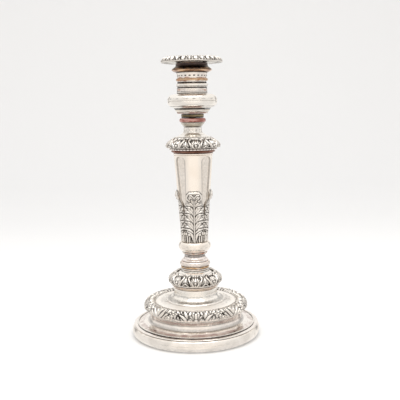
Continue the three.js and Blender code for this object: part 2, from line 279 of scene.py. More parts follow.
GROUND_HEIGHT = 0.12
GROUND_DARK = 0.95
LOW_DARK = 0.88  # how much darker the low parts of a shape are than its crest: painted shade, with some patina
UNSHADED_HEIGHT = 0.9  # height above which a shape gets no painted shade
SIDE_DARK = 0.55  # painted shade at the edge of a shape
SIDE_WIDTH = 0.45  # how far in from its edge a shape is darkened by painted shade
RUBBED_FROM = 0.8  # height at which rubbing starts
RUBBED_RANGE = 0.2  # climb over which it becomes full


def lay(x, shapes, ground_dark=GROUND_DARK, low_dark=LOW_DARK):
    """Lays shapes one over another on a sunk dark ground: gives heights, and darkness from 0 to 1 (patina
    in the ground and grooves, painted shade on the sides and low parts of the shapes).
    """
    height = np.full(np.shape(x), GROUND_HEIGHT)
    dark = np.full(np.shape(x), ground_dark)
    for raised, inside, groove in shapes:
        over = inside > 0
        height = np.where(over, raised, height * np.clip(-inside / groove, 0, 1))
        # painted shade: each shape darkens towards its edge and over its lower parts
        side = SIDE_DARK * np.clip(1 - inside / SIDE_WIDTH, 0, 1)
        shade = np.maximum(side, low_dark * (UNSHADED_HEIGHT - raised))
        # a groove is fully dark for its nearer half and gone a little past its width
        groove_dark = np.clip(1.7 + 1.4 * inside / groove, 0, 1)
        dark = np.where(over, shade, np.maximum(dark, groove_dark))
    return height, dark


def rubbed_bright(height):
    """How rubbed the tops of the relief are, from 0 to 1."""
    return np.clip((height - RUBBED_FROM) / RUBBED_RANGE, 0, 1)


# Half a repeat of each chased pattern, in the units its shapes are drawn in.
BORDER_HALF = 42.4
COLLAR_HALF = 10.6
NOZZLE_HALF = 7.1
TULIP_FLARE = 7.9  # how far out a tulip's outer petal turns


def border_relief(x, y):
    """Shells, flowers and reeded sprays: x runs from a shell to a spray, y 0 to 25.5 inwards."""
    rim_leaves = [
        blade(x, y, (4.3 * leaf - 1.0, 18.0), (4.3 * leaf, 25.2), 1.6, bend=0.5, groove=1.0)
        for leaf in range(11)
    ]
    filling = [
        blade(x, y, (3.4 * leaf, foot), (3.4 * leaf + lean, foot + 8.5), 1.25, height=0.7, groove=0.6)
        for foot, lean in ((9.4, -1.6), (0.8, 1.6)) for leaf in range(14)
    ]
    spray = [
        blade(x, y, (51 - 4.8 * reed, 0.4), (38 - 4.2 * reed, 20.5 - 2.6 * reed), 1.9, bend=2.2, groove=1.1)
        for reed in reversed(range(4))
    ]
    return lay(x, [
        *filling,
        *rim_leaves,
        *fan(x, y, (BORDER_HALF, 12.0), 9.5, 50, 3, 1.6, groove=0.9),
        *spray,
        blade(x, y, (17.0, 11.0), (20.4, 20.0), 1.7, bend=-0.6, groove=1.1),
        blade(x, y, (30.5, 12.0), (28.0, 20.6), 1.6, bend=0.6, groove=1.1),
        blade(x, y, (11.6, 1.0), (24.5, 5.2), 1.6, bend=-1.6, groove=1.1),
        blade(x, y, (10.0, 4.4), (13.0, 18.2), 1.7, bend=1.4, groove=1.2),
        blade(x, y, (9.4, 1.0), (18.0, 12.0), 1.7, bend=1.8, groove=1.2),
        scroll(x, y, (29.4, 5.4), 3.9, 2.9, 0.9),
        *flower(x, y, (23.6, 11.0), 4.6),
        *fan(x, y, (0, 5.6), 8.6, 80, 7, 1.45, groove=0.9),
        scroll(x, y, (6.6, 3.0), 2.5, 2.4, 0.8),
        dome(x, y, (0, 3.8), 2.0, groove=0.9),
        ridge(x, y, [(-5, 0.2), (50, 0.2)], 0.8, 0.75),
    ])


def collar_relief(x, y):
    """Tulips alternating with palm rays: x runs from a tulip to a palm, y 0 to 17 upwards."""
    return lay(x, [
        *(dome(x, y, (2.65 * bead, 15.4), 1.35, 0.8, groove=0.7) for bead in range(5)),
        *fan(x, y, (COLLAR_HALF, 3.4), 11.0, 52, 7, 1.0, droop=0.34, groove=0.5),
        ridge(x, y, [(6.2, 0.4), (7.6, 1.5), (9.4, 4.2), (COLLAR_HALF, 4.6)], 0.6, 0.75, groove=0.6),
        ridge(x, y, [(3.5, 0.2), (3.9, 3.6), (5.7, 7.4), (TULIP_FLARE - 0.6, 10.6), (TULIP_FLARE, 12.6),
                     (TULIP_FLARE - 1.4, 14.2)], 1.05, groove=1.5),
        blade(x, y, (1.5, 0.4), (4.0, 8.6), 0.95, bend=-0.5, vein=0.2, groove=0.6),
        *fan(x, y, (0, 5.0), 8.6, 40, 5, 1.1, groove=0.6),
        blade(x, y, (0, 0.2), (0, 5.6), 1.0, height=0.85, groove=0.7),
        dome(x, y, (0, 5.4), 1.4, groove=0.7),
        ridge(x, y, [(-1, 0.0), (12, 0.0)], 0.7, 0.8, groove=0.5),
    ])


def nozzle_relief(x, y):
    """Leaves and shells: x runs from a leaf to a shell, y 0 to 14 inwards."""
    return lay(x, [
        dome(x, y, (3.6, 9.6), 2.1, 0.8, groove=0.7),
        dome(x, y, (3.5, 13.4), 1.6, 0.9, groove=0.7),
        blade(x, y, (3.6, 0.2), (3.6, 3.0), 0.9, height=0.8, groove=0.7),
        *fan(x, y, (NOZZLE_HALF, 0.4), 12.4, 14, 3, 1.15, groove=0.8),
        dome(x, y, (NOZZLE_HALF, 13.8), 1.5, groove=0.8),
        blade(x, y, (0, 0.2), (0, 12.8), 2.1, groove=1.2),
        ridge(x, y, [(-1, 0.0), (8, 0.0)], 0.8, 0.9, groove=0.5),
    ], ground_dark=0.8, low_dark=1.15)


# side lobes of the acanthus, top one first: height of the root, height of the tip, reach of the tip
LOBES = ((32.4, 43.4, 10.4), (24.0, 35.6, 12.2), (15.6, 27.2, 12.8), (7.6, 19.0, 13.0))
# fingers of a lobe, uppermost first: reach and drop of the tip as shares, and bow of the spine
LOBE_FINGERS = ((0.32, -0.36, 0.6), (0.64, -0.24, 1.1), (0.94, 0.02, 1.6), (1.0, 0.38, 2.1))


def acanthus_relief(x, y):
    """Acanthus leaf 57.5 high: x is the distance from the midrib, y the height above its foot."""
    shapes = []
    for root, tip, reach in LOBES:
        tall = tip - root
        shapes.append(dome(x, y, (reach + 0.2, tip - 6.6), 2.4, 0.85, groove=0.5))
        for share, drop, bow in LOBE_FINGERS:
            lowest = drop == LOBE_FINGERS[-1][1]
            groove = 1.3 if lowest else 0.35
            finger_tip = (reach * share, tip - drop * tall)
            shapes.append(blade(x, y, (0.4, root + 1.2 - 2 * drop), finger_tip, 1.75, bend=bow, vein=0.1,
                                lift=0.1, groove=groove))
    stems = [ridge(x, y, [(3.0 + 2.9 * stem, -1), (3.0 + 2.9 * stem, 7.6)], 0.9, 0.85, groove=0.8)
             for stem in range(4)]
    return lay(x, [
        *shapes,
        *stems,
        blade(x, y, (0.6, -0.5), (10.0, 12.6), 1.7, bend=3.0, vein=0.15, groove=1.3),
        dome(x, y, (6.6, 8.4), 1.7),
        dome(x, y, (11.0, 9.2), 1.9),
        ridge(x, y, [(0, 54.9), (5.6, 54.7), (8.0, 52.2), (7.8, 48.4), (5.6, 46.0)], 1.3, 0.9, groove=0.8),
        dome(x, y, (4.4, 50.0), 2.7, 0.75, groove=0.6),
        ridge(x, y, [(0, 49.4), (2.8, 52.4), (5.4, 52.2)], 0.85, groove=0.6),
        blade(x, y, (0, 43.2), (3.6, 48.6), 1.2, bend=-0.4, vein=0.15, groove=0.6),
        ridge(x, y, [(0, -1), (0, 46.0)], 0.75, 0.95, groove=0.6),
    ], ground_dark=0.5, low_dark=0.7)


# ---------------------------------------------------------------- chased pieces
FRONT_STEP = 0.33  # spacing of points up a chased front
BACK_STEP = 1.2  # and up its plain back
RIM_FADE = 0.04  # share of the front over which the relief dies away at each rim
REEDS_PER_REPEAT = 6


def front_normals(line):
    """Unit normals of an outline, square to it."""
    along = np.gradient(line, axis=0)
    outward = np.column_stack([along[:, 1], -along[:, 0]])
    return outward / np.linalg.norm(outward, axis=1, keepdims=True)


def chased_ring(node, front, back, relief, field, repeats, material, body=STICK,
                steps=480, turned_by=0.0):
    """Ring whose front carries a chased pattern, sunk by up to relief.

    field gives heights and darkness from two shares: across, from 0 in the middle of a repeat to 1 at
    its edge, and up, from 0 to 1 along the front outline.
    """
    radius, bottom, _ = place(node)
    front_line = smooth_line([(radius - inset, bottom + rise) for inset, rise in front], FRONT_STEP)
    back_line = smooth_line([(radius - inset, bottom + rise) for inset, rise in back], BACK_STEP)
    rise = np.concatenate([[0], np.cumsum(np.linalg.norm(np.diff(front_line, axis=0), axis=1))])
    angles = np.arange(steps) * TAU / steps
    half = TAU / repeats / 2
    from_middle = np.abs((angles - turned_by + half) % (2 * half) - half) / half
    across, up = np.meshgrid(from_middle, rise / rise[-1])
    height, dark = field(across, up)
    fade = np.clip(np.minimum(up, 1 - up) / RIM_FADE, 0, 1)
    depth = relief * (1 - height) * fade
    normals = front_normals(front_line)
    reach = front_line[:, :1] - normals[:, :1] * depth
    level = front_line[:, 1:] - normals[:, 1:] * depth
    reach = np.vstack([reach, np.repeat(back_line[:, :1], steps, axis=1)])
    level = np.vstack([level, np.repeat(back_line[:, 1:], steps, axis=1)])
    points = round_axis(reach, angles, level)
    reeds = 0.55 + 0.25 * np.cos(REEDS_PER_REPEAT * repeats * angles)
    uneven = 0.94 + 0.1 * np.sin(5 * angles + 1.0) * np.sin(11 * angles)
    tarnish_and_shade = np.vstack([dark * fade * uneven, np.tile(reeds, (len(back_line), 1))])
    wear = np.vstack([rubbed_bright(height), np.zeros((len(back_line), steps))])
    faces = grid_faces(len(reach), steps, wrap_rows=True)
    add_piece(node, points, faces, tarnish_and_shade, wear, material, body)


COLUMN_FACES = 4
QUARTER = TAU / COLUMN_FACES
COLUMN_TAPER = ((0, 9.1), (40.9, 5.6), (47.9, 3.65), (95.9, 0.15))  # (rise, inset) of the raised faces
FACE_HALF_WIDTH = 8.9
FACE_BULGE = 0.25  # how far the middle of a face stands out from its edges
FLUTE_DEPTH = 1.15
FLUTE_FLOOR = 0.86  # share of a flute's half width that is floor, before the step up to the face
FLUTE_LINE = 0.75  # width of the dark line along each edge of the floor
FLUTE_TONE = 0.315  # darkness of the floor
FLUTE_LINE_TONE = 0.58
FLUTE_ARCH_FOOT = 88.5
FLUTE_ARCH_TOP = 94.7
CLOSED_FLUTE = math.radians(0.6)  # half width kept above the arch, so that all rows match
COLUMN_WALL = 1.0


def column_face_radius(rise):
    """Radius of the raised faces at a height above the column's foot."""
    radius, _, _ = place("column")
    rises, insets = zip(*COLUMN_TAPER)
    return radius - np.interp(rise, rises, insets)


def fluted_column(material):
    """Tapering shaft: four raised faces of constant width, four round-topped flutes between them."""
    _, bottom, top = place("column")
    tall = top - bottom
    rises = np.unique(np.concatenate([
        np.linspace(0, FLUTE_ARCH_FOOT, 110), np.linspace(FLUTE_ARCH_FOOT, FLUTE_ARCH_TOP, 26),
        np.linspace(FLUTE_ARCH_TOP, tall, 4),
    ]))
    face_radius = column_face_radius(rises)
    climbed = np.clip((rises - FLUTE_ARCH_FOOT) / (FLUTE_ARCH_TOP - FLUTE_ARCH_FOOT), 0, 1)
    face_half = np.arcsin(np.clip(FACE_HALF_WIDTH / face_radius, 0, math.sqrt(0.5)))
    flute_half = (QUARTER / 2 - face_half) * np.sqrt(1 - climbed ** 2)
    flute_half = np.maximum(flute_half, CLOSED_FLUTE)
    # shares across the flute: 0 at its middle, 1 at its edge; the step at the edge takes the last few
    flute_shares = np.concatenate([np.linspace(0, FLUTE_FLOOR, 8), np.linspace(0.89, 1.0, 7)])
    face_shares = np.linspace(1, 0, 14)[1:]
    half_angles = np.hstack([
        QUARTER / 2 - np.outer(flute_half, flute_shares),
        np.outer(QUARTER / 2 - flute_half, face_shares),
    ])
    step = np.clip((flute_shares - 0.87) / 0.1, 0, 1)
    sunk = np.concatenate([1 - step ** 2 * (3 - 2 * step), np.zeros(len(face_shares))])
    open_share = np.clip((FLUTE_ARCH_TOP - rises) / 0.9, 0, 1)
    depth = np.outer(open_share, sunk * FLUTE_DEPTH)
    # a dark line lies along both edges of a flute, of one width however wide the flute is
    floor_left = FLUTE_FLOOR - np.minimum(flute_shares, FLUTE_FLOOR)
    edge_gap = np.outer(flute_half * face_radius, floor_left)
    grime_and_shade = FLUTE_TONE + (FLUTE_LINE_TONE - FLUTE_TONE) * np.clip(1 - edge_gap / FLUTE_LINE, 0, 1)
    face_line = 0.4 * np.clip(1 - (1 - face_shares) / 0.05, 0, 1)
    grime_and_shade = np.hstack([grime_and_shade, np.tile(face_line, (len(rises), 1))])
    grime_and_shade = open_share[:, None] * grime_and_shade
    bulge = np.concatenate([np.zeros(len(flute_shares)), 1 - face_shares ** 2])
    radii = face_radius[:, None] - depth - FACE_BULGE + FACE_BULGE * bulge
    # one eighth of a turn, mirrored and repeated four times
    angles = np.hstack([half_angles, -half_angles[:, -2:0:-1]])
    radii = np.hstack([radii, radii[:, -2:0:-1]])
    grime_and_shade = np.hstack([grime_and_shade, grime_and_shade[:, -2:0:-1]])
    angles = np.hstack([angles - quarter * QUARTER for quarter in range(COLUMN_FACES)])
    radii = np.tile(radii, (1, COLUMN_FACES))
    grime_and_shade = np.tile(grime_and_shade, (1, COLUMN_FACES))
    inner = radii.min(axis=0) - COLUMN_WALL
    reach = np.vstack([radii, inner, inner])
    angles = np.vstack([angles, angles[-1], angles[0]])
    level = np.concatenate([rises, [tall, 0]]) + bottom
    points = round_axis(reach, angles, level[:, None])
    faces = grid_faces(len(reach), reach.shape[1], wrap_rows=True)
    tarnish_and_shade = np.vstack([grime_and_shade, np.zeros((2, reach.shape[1]))])
    add_piece("column", points, faces, tarnish_and_shade, np.zeros(tarnish_and_shade.shape), material)


# outer face (inset from the curled tip's reach) and half-width in degrees of an acanthus leaf by height
LEAF_FACE = ((0, 6.1), (5.5, 5.9), (17, 5.4), (28, 4.6), (36.5, 4.0), (41.5, 3.9), (45, 3.4), (47, 1.6),
             (49.5, 0.4), (53, 0.0), (55.7, 0.5), (57.5, 1.9))
LEAF_SPREAD = ((0, 42.5), (19.5, 44), (33.5, 43.5), (39.5, 41), (42.5, 37), (45, 30), (47, 27),
               (49.5, 26.5), (54.5, 26), (56.5, 23), (57.5, 17))
LEAF_RELIEF = 1.25
LEAF_BOW = 0.35  # how far the sides of a leaf fall back from its midrib
LEAF_GAP = 0.15  # between the back of a leaf and the column
LEAF_THINNEST = 0.25
SCALLOP = 0.05  # share of the half width that the notches between lobes cut away
SCALLOP_SPACING = 7.6
CURL_START = 47  # height at which the tip leaves the column
CURL_CLIMB = 4  # height over which it thickens


def acanthus_leaf(side, middle_angle, material):
    """Applied leaf: chased front, plain back that follows the column, tip curling away from it."""
    node = "acanthus_leaf_" + side
    low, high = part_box(node)
    reach_most = max(abs(low.x), abs(high.x), abs(low.y), abs(high.y)) / MM
    bottom, tall = low.z / MM, (high.z - low.z) / MM
    rises = np.linspace(0, tall, 150)
    shares = np.linspace(-1, 1, 71)
    face_rises, face_insets = zip(*LEAF_FACE)
    spread_rises, spread_angles = zip(*LEAF_SPREAD)
    envelope = reach_most - np.interp(rises, face_rises, face_insets)
    spread = np.radians(np.interp(rises, spread_rises, spread_angles))
    notches = np.abs(np.sin(rises * math.pi / SCALLOP_SPACING))
    scallop = 1 - SCALLOP * notches * np.clip((rises - 20) / 10, 0, 1)
    turn = np.outer(spread * scallop, shares)
    across = np.abs(turn * envelope[:, None])
    height, dark = acanthus_relief(across, np.broadcast_to(rises[:, None], across.shape))
    rim = np.clip((1 - np.abs(shares)) / 0.03, 0, 1)[None, :] * np.clip((tall - rises) / 1.5, 0, 1)[:, None]
    height = height * rim
    # painted shadow line along the leaf's edges, where the leaf stands off the column
    dark = np.maximum(dark, 0.25 * (1 - rim))
    column = column_face_radius(rises + bottom - place("column")[1])[:, None]
    front = envelope[:, None] - LEAF_RELIEF * (1 - height) - LEAF_BOW * shares ** 2
    seat = column + LEAF_GAP
    front = np.maximum(front, seat + LEAF_THINNEST)
    curl = np.clip((rises - CURL_START) / CURL_CLIMB, 0, 1)[:, None]
    back = np.maximum(front.min(axis=1, keepdims=True) - 0.5 - 1.3 * curl, seat)
    back = np.minimum(back, front - 0.2)
    angles = middle_angle + np.hstack([turn, turn[:, ::-1]])
    reach = np.hstack([front, back[:, ::-1]])
    count = reach.shape[1]
    points = round_axis(reach, angles, (bottom + rises)[:, None])
    faces = grid_faces(len(rises), count, wrap_rows=False)
    last = (len(rises) - 1) * count
    for column_index in range(len(shares) - 1):
        here, beside = column_index, column_index + 1
        over, over_beside = count - 1 - here, count - 1 - beside
        faces.append((beside, here, over, over_beside))
        faces.append((last + here, last + beside, last + over_beside, last + over))
    tarnish_and_shade = np.hstack([dark, np.zeros(back.shape)])
    wear = np.hstack([rubbed_bright(height), np.zeros(back.shape)])
    add_piece(node, points, faces, tarnish_and_shade, wear, material)


# ---------------------------------------------------------------- materials
# Waves per metre of the noise behind each kind of mark on the plate.
CLOUDS = 70
DENTS = 95
COPPER_PATCHES = 160
DUST = 420
FINE_SCRATCHES = 900


def new_material(name):
    """A node material, with its node tree and its shader."""
    material = bpy.data.materials.new(name)
    material.use_nodes = True
    return material, material.node_tree, material.node_tree.nodes["Principled BSDF"]


def noise(tree, scale, detail=4.0, stretch=(1, 1, 1)):
    """Noise over object space; scale is in waves per metre."""
    where = tree.nodes.new("ShaderNodeTexCoord")
    mapping = tree.nodes.new("ShaderNodeMapping")
    mapping.inputs["Scale"].default_value = stretch
    texture = tree.nodes.new("ShaderNodeTexNoise")
    texture.inputs["Scale"].default_value = scale
    texture.inputs["Detail"].default_value = detail
    tree.links.new(where.outputs["Object"], mapping.inputs["Vector"])
    tree.links.new(mapping.outputs["Vector"], texture.inputs["Vector"])
    return texture.outputs["Fac"]


def remap(tree, value, low, high, to_low=0.0, to_high=1.0):
    """Stretches low to high over to_low to to_high, held at both ends."""
    node = tree.nodes.new("ShaderNodeMapRange")
    node.inputs["From Min"].default_value = low
    node.inputs["From Max"].default_value = high
    node.inputs["To Min"].default_value = to_low
    node.inputs["To Max"].default_value = to_high
    tree.links.new(value, node.inputs["Value"])
    return node.outputs["Result"]


def combine(tree, operation, first, second):
    """Math node on two values, each a socket or a number."""
    node = tree.nodes.new("ShaderNodeMath")
    node.operation = operation
    for socket, value in zip(node.inputs, (first, second)):
        if isinstance(value, (int, float)):
            socket.default_value = value
        else:
            tree.links.new(value, socket)
    return node.outputs[0]


def blend_colour(tree, share, first, second):
    """Colour from first at share 0 to second at share 1, each a socket or a colour."""
    node = tree.nodes.new("ShaderNodeMix")
    node.data_type = "RGBA"
    tree.links.new(share, node.inputs["Factor"])
    for socket, value in ((node.inputs["A"], first), (node.inputs["B"], second)):
        if isinstance(value, tuple):
            socket.default_value = (*value, 1)
        else:
            tree.links.new(value, socket)
    return node.outputs["Result"]


def attribute(tree, name):
    """Reads a per-point value of the mesh."""
    node = tree.nodes.new("ShaderNodeAttribute")
    node.attribute_name = name
    return node.outputs["Fac"]


def add_bump(tree, shader, height, strength, distance):
    """Shallow unevenness; distance is in metres."""
    bump = tree.nodes.new("ShaderNodeBump")
    bump.inputs["Strength"].default_value = strength
    bump.inputs["Distance"].default_value = distance
    tree.links.new(height, bump.inputs["Height"])
    tree.links.new(bump.outputs["Normal"], shader.inputs["Normal"])


# dark colour for patina in hollows, also used for painted shade and painted dark reflections
TARNISH_AND_SHADE = (0.035, 0.028, 0.022)
COPPER = (0.62, 0.27, 0.15)


def plate(name, silver, cloud, copper_share=0.0, edge_copper=0.15, roughness=0.14, copper=COPPER,
          dented=0.12, patchy=0.3, dusty=0.18):
    """Old polished plate: silver with cloudy tone, copper where it has rubbed through, and a dark colour
    where the mesh asks for it: patina in hollows, painted shade and painted dark reflections.
    """
    material, tree, shader = new_material(name)
    tone = remap(tree, noise(tree, CLOUDS), 0.35, 0.65)
    base = blend_colour(tree, tone, silver, cloud)
    patches = noise(tree, COPPER_PATCHES, 5.0, (1, 1, 2.2))
    worn = combine(tree, "MULTIPLY", attribute(tree, "wear"), edge_copper)
    worn = combine(tree, "ADD", worn, copper_share)
    worn = combine(tree, "ADD", worn, remap(tree, patches, 0.3, 0.7, -patchy, patchy))
    worn = remap(tree, worn, 0.34, 0.6)
    base = blend_colour(tree, worn, base, copper)
    # patina and dust, together with the painted shade and painted dark reflections carried by the mesh
    grime_and_shade = combine(tree, "ADD", attribute(tree, "tarnish_and_shade"),
                    remap(tree, noise(tree, DUST), 0.3, 0.7, -dusty, dusty))
    grime_and_shade = remap(tree, grime_and_shade, 0.25, 0.95)
    base = blend_colour(tree, grime_and_shade, base, TARNISH_AND_SHADE)
    tree.links.new(base, shader.inputs["Base Color"])
    shader.inputs["Metallic"].default_value = 1.0
    scratches = noise(tree, FINE_SCRATCHES, 6.0)
    rubbed = remap(tree, scratches, 0.3, 0.7, roughness, roughness + 0.08)
    rough = combine(tree, "ADD", rubbed, combine(tree, "MULTIPLY", grime_and_shade, 0.3))
    tree.links.new(rough, shader.inputs["Roughness"])
    add_bump(tree, shader, noise(tree, DENTS, 2.0), dented, 0.002)
    return material


def plain(name, dark, light, scale, roughness, bump, metallic=0.0, stretch=(1, 1, 1)):
    """Grainy material with no wear: felt, card, pitch or iron."""
    material, tree, shader = new_material(name)
    grain = noise(tree, scale, 8.0, stretch)
    tone = remap(tree, grain, 0.3, 0.7)
    tree.links.new(blend_colour(tree, tone, dark, light), shader.inputs["Base Color"])
    tree.links.new(remap(tree, grain, 0.3, 0.7, roughness - 0.08, roughness + 0.08),
              shader.inputs["Roughness"])
    shader.inputs["Metallic"].default_value = metallic
    add_bump(tree, shader, grain, bump, 0.0006)
    return material


SILVER = plate("bright_silver", (0.98, 0.945, 0.89), (0.91, 0.865, 0.805))
CREAM = plate("cream_silver", (0.99, 0.925, 0.85), (0.96, 0.885, 0.80), dented=0.04, dusty=0.05)
RIM_SILVER = plate("rim_silver", (0.98, 0.93, 0.87), (0.84, 0.79, 0.73), copper_share=0.1,
                   copper=(0.62, 0.53, 0.45))
SATIN = plate("satin_silver", (1.0, 0.97, 0.93), (0.97, 0.93, 0.88), roughness=0.6)
CHASED = plate("chased_silver", (0.93, 0.89, 0.84), (0.84, 0.79, 0.73), roughness=0.2, edge_copper=0.0)
# grey silver for faces that look down: painted shade on undersides
UNDERSIDE_SHADE = plate("underside_shade_silver", (0.66, 0.63, 0.56), (0.50, 0.46, 0.40), roughness=0.18)
TAN_SILVER = plate("tan_silver", (0.82, 0.73, 0.65), (0.66, 0.56, 0.50), copper_share=0.1)
ROSE_SILVER = plate("rose_silver", (0.98, 0.94, 0.89), (0.91, 0.85, 0.80), copper=(0.50, 0.37, 0.34),
                    edge_copper=0.2, patchy=0.1, dusty=0.06)
PINK_SILVER = plate("pink_silver", (1.0, 0.94, 0.90), (0.94, 0.86, 0.82), copper=(0.52, 0.34, 0.27))
GOLD_RUBBED = plate("gold_rubbed_silver", (0.94, 0.88, 0.82), (0.87, 0.78, 0.72), copper=(0.82, 0.56, 0.34),
                    edge_copper=0.2)
COPPERY = plate("copper_worn", (0.74, 0.55, 0.38), (0.40, 0.25, 0.15), copper_share=0.25,
                copper=(0.52, 0.29, 0.16))
BARREL_SILVER = plate("barrel_silver", (0.95, 0.91, 0.86), (0.86, 0.79, 0.73), copper=(0.52, 0.33, 0.26),
                      edge_copper=0.2)
CALYX_SILVER = plate("calyx_silver", (0.92, 0.87, 0.80), (0.82, 0.75, 0.66), copper=(0.34, 0.15, 0.12),
                     edge_copper=0.2)
LIP_COPPER = plate("lip_copper", (0.80, 0.56, 0.36), (0.24, 0.13, 0.10), copper_share=0.15,
                   copper=(0.40, 0.20, 0.11))
RED_COPPER = plate("red_copper", (0.70, 0.42, 0.38), (0.38, 0.16, 0.13), copper_share=0.26,
                   copper=(0.34, 0.11, 0.09), dented=0.35)
BROWN_COPPER = plate("brown_copper", (0.30, 0.16, 0.12), (0.15, 0.07, 0.05), copper_share=0.2,
                     copper=(0.18, 0.07, 0.05))
# near-black silver for the nozzle's collar: painted shade under the nozzle's pan, with copper where it is
# worn
UNDER_PAN_SHADE = plate("under_pan_shade_silver", (0.06, 0.045, 0.05), (0.14, 0.10, 0.09), edge_copper=0.3,
                  roughness=0.12, copper=(0.45, 0.27, 0.16))
# dark olive silver for the knop's neck: painted shade between the red ring and the calyx
OLIVE_SHADE = plate("olive_shade_silver", (0.13, 0.10, 0.055), (0.30, 0.25, 0.15), edge_copper=0.2)
INSIDE = plate("tube_silver", (0.62, 0.56, 0.50), (0.42, 0.36, 0.32), roughness=0.3)
BAIZE = plain("green_baize", (0.012, 0.045, 0.02), (0.03, 0.10, 0.045), 2600, 0.92, 0.8)
CARD = plain("brown_card", (0.20, 0.13, 0.07), (0.32, 0.22, 0.12), 700, 0.85, 0.3, stretch=(1, 4, 1))
PITCH = plain("pitch", (0.008, 0.006, 0.005), (0.03, 0.022, 0.016), 260, 0.5, 0.6)
IRON = plain("iron_rod", (0.05, 0.045, 0.04), (0.14, 0.11, 0.09), 500, 0.6, 0.5, metallic=0.8)


# ---------------------------------------------------------------- foot
def carried_over(node, material):
    """A CAD node whose shape is right keeps its mesh and gets the material."""
    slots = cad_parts[node].data.materials
    slots.clear()
    slots.append(material)


FELT_INSET = 64.98  # the felt and the liner's floor stop just short of the axis
LINER_INSET = 13.48
spun("felt_pad", [
    [(FELT_INSET, 0), (0.4, 0)], [(0.4, 0), (0, 0.6), (0.4, 1.2)], [(0.4, 1.2), (FELT_INSET, 1.2)],
], BAIZE)
carried_over("closing_card", CARD)
carried_over("base_loading", PITCH)
carried_over("stem_rod", IRON)

spun("foot_rim", [
    [(5.7, 0), (5.3, 0)],
    [(5.3, 0), (3.2, 0.9), (1.2, 2.6), (0.2, 4.6), (0, 6.0), (0.6, 8.6), (1.6, 10.9), (2.6, 11.9)],
    [(2.6, 11.9), (4.0, 12.3), (5.7, 12.3)],
], RIM_SILVER, dirt_and_shade=[(0.0, 0.8, 0.5), (0.4, 3.6, 0.32)])

# the wide rubbed band on the flat rim, stronger at front and back, is partly wear and partly a painted dark
# reflection across the front of the rim
spun("foot_plate", [
    [(0, 1.1), (4.4, 2.1), (14.6, 3.9)],
    [(14.6, 3.9), (16.8, 4.7), (18.1, 6.4), (18.5, 9.2), (18.2, 12.2), (17.6, 15.0)],
    [(17.6, 15.0), (18.6, 15.0)],
    [(18.6, 15.0), (19.5, 9.2), (18.6, 5.0), (16.4, 3.2)],
    [(16.4, 3.2), (4.6, 1.1), (0.2, 0.1)],
], ROSE_SILVER, rubbed=[(10.4, 14.6, 1.8), (1.4, 3.8, 2.4, 0.17)],
    dirt_and_shade=[(14.3, 15.0, 0.9), (12.8, 13.1, 0.7), (9.8, 10.2, 0.8), (4.1, 4.5, 0.5)])

spun("rim_wire", [
    [(0.2, 0), (0, 0.4), (0.35, 0.8), (0.8, 0.65)],
    [(0.8, 0.65), (1.05, 0.4), (1.3, 0.7)],
    [(1.3, 0.7), (1.7, 1.1), (2.1, 0.75), (2.0, 0.25)],
], SILVER, dirt_and_shade=[(0.0, 0.45, 0.9)])

chased_ring(
    "base_border",
    [(4.0, 0.3), (1.2, 1.9), (0, 4.5), (0.4, 7.5), (2.2, 10.5), (5.4, 12.5), (9.6, 12.2), (13.5, 10.5)],
    [(11.7, 9.2), (8.8, 2.3), (7.4, 0.1)],
    1.9, lambda across, up: border_relief(BORDER_HALF * across, 25.5 * up), 4,
    CHASED, steps=768,
)

# the dark band at the dish's outer edge lies at the sides only: a painted dark reflection where the edge
# turns away from view
spun("base_dish", [
    [(0, 0.4), (1.1, 2.8), (4.1, 11.2)],
    [(4.1, 11.2), (5.0, 12.4), (6.5, 13.2)],
    [(6.5, 13.2), (15.0, 13.55), (24.1, 13.8)],
    [(24.1, 12.8), (15.0, 12.5), (7.0, 12.2), (5.2, 10.8)],
    [(5.2, 10.8), (2.1, 2.6), (1.1, 0)],
], SATIN, dirt_and_shade=[(13.3, 13.9, 0.2, -1.0)])

spun("base_spool", [
    [(9.0, 13.8), (9.05, 8.4), (8.6, 6.4), (7.4, 4.8)],
    [(7.4, 4.8), (6.9, 4.6), (6.6, 4.0)],
    [(6.6, 4.0), (4.6, 2.4), (2.2, 1.2), (0, -0.3)],
    [(3.9, -0.3), (8.0, 3.2), (9.8, 6.8), (10.2, 13.8)],
], SILVER, dirt_and_shade=[(0.4, 3.6, 0.55)])

# ---------------------------------------------------------------- lower stem
spun("lower_collar_band", [
    [(8.9, 0), (2.7, 0)],
    [(2.7, 0), (2.3, 0.7), (1.8, 1.3)],
    [(1.8, 1.3), (1.2, 1.7), (0.4, 2.7), (0, 3.7)],
    [(0, 3.7), (8.9, 3.7)],
], TAN_SILVER)

spun("lower_dome", [
    [(2.2, 0), (0.8, 2.3), (0, 4.8), (2.4, 8.5), (10.8, 14.0)],
    [(10.8, 14.0), (11.4, 14.7), (11.5, 15.8)],
    [(12.5, 15.8), (12.3, 14.4), (11.5, 13.3)],
    [(11.5, 13.3), (3.3, 7.8), (1.1, 4.7), (1.8, 2.5), (3.2, 0)],
], SILVER)

chased_ring(
    "lower_collar",
    [(4.7, 0.0), (2.5, 0.1), (0.6, 2.3), (0, 4.9), (0.8, 7.9), (3.7, 10.7), (9.0, 14.0)],
    [(10.1, 12.4), (5.1, 9.0), (2.7, 4.9), (3.3, 1.8)],
    1.6, lambda across, up: collar_relief(COLLAR_HALF * across, 19.5 * up - 2.6), 8,
    CHASED, turned_by=FRONT,
)

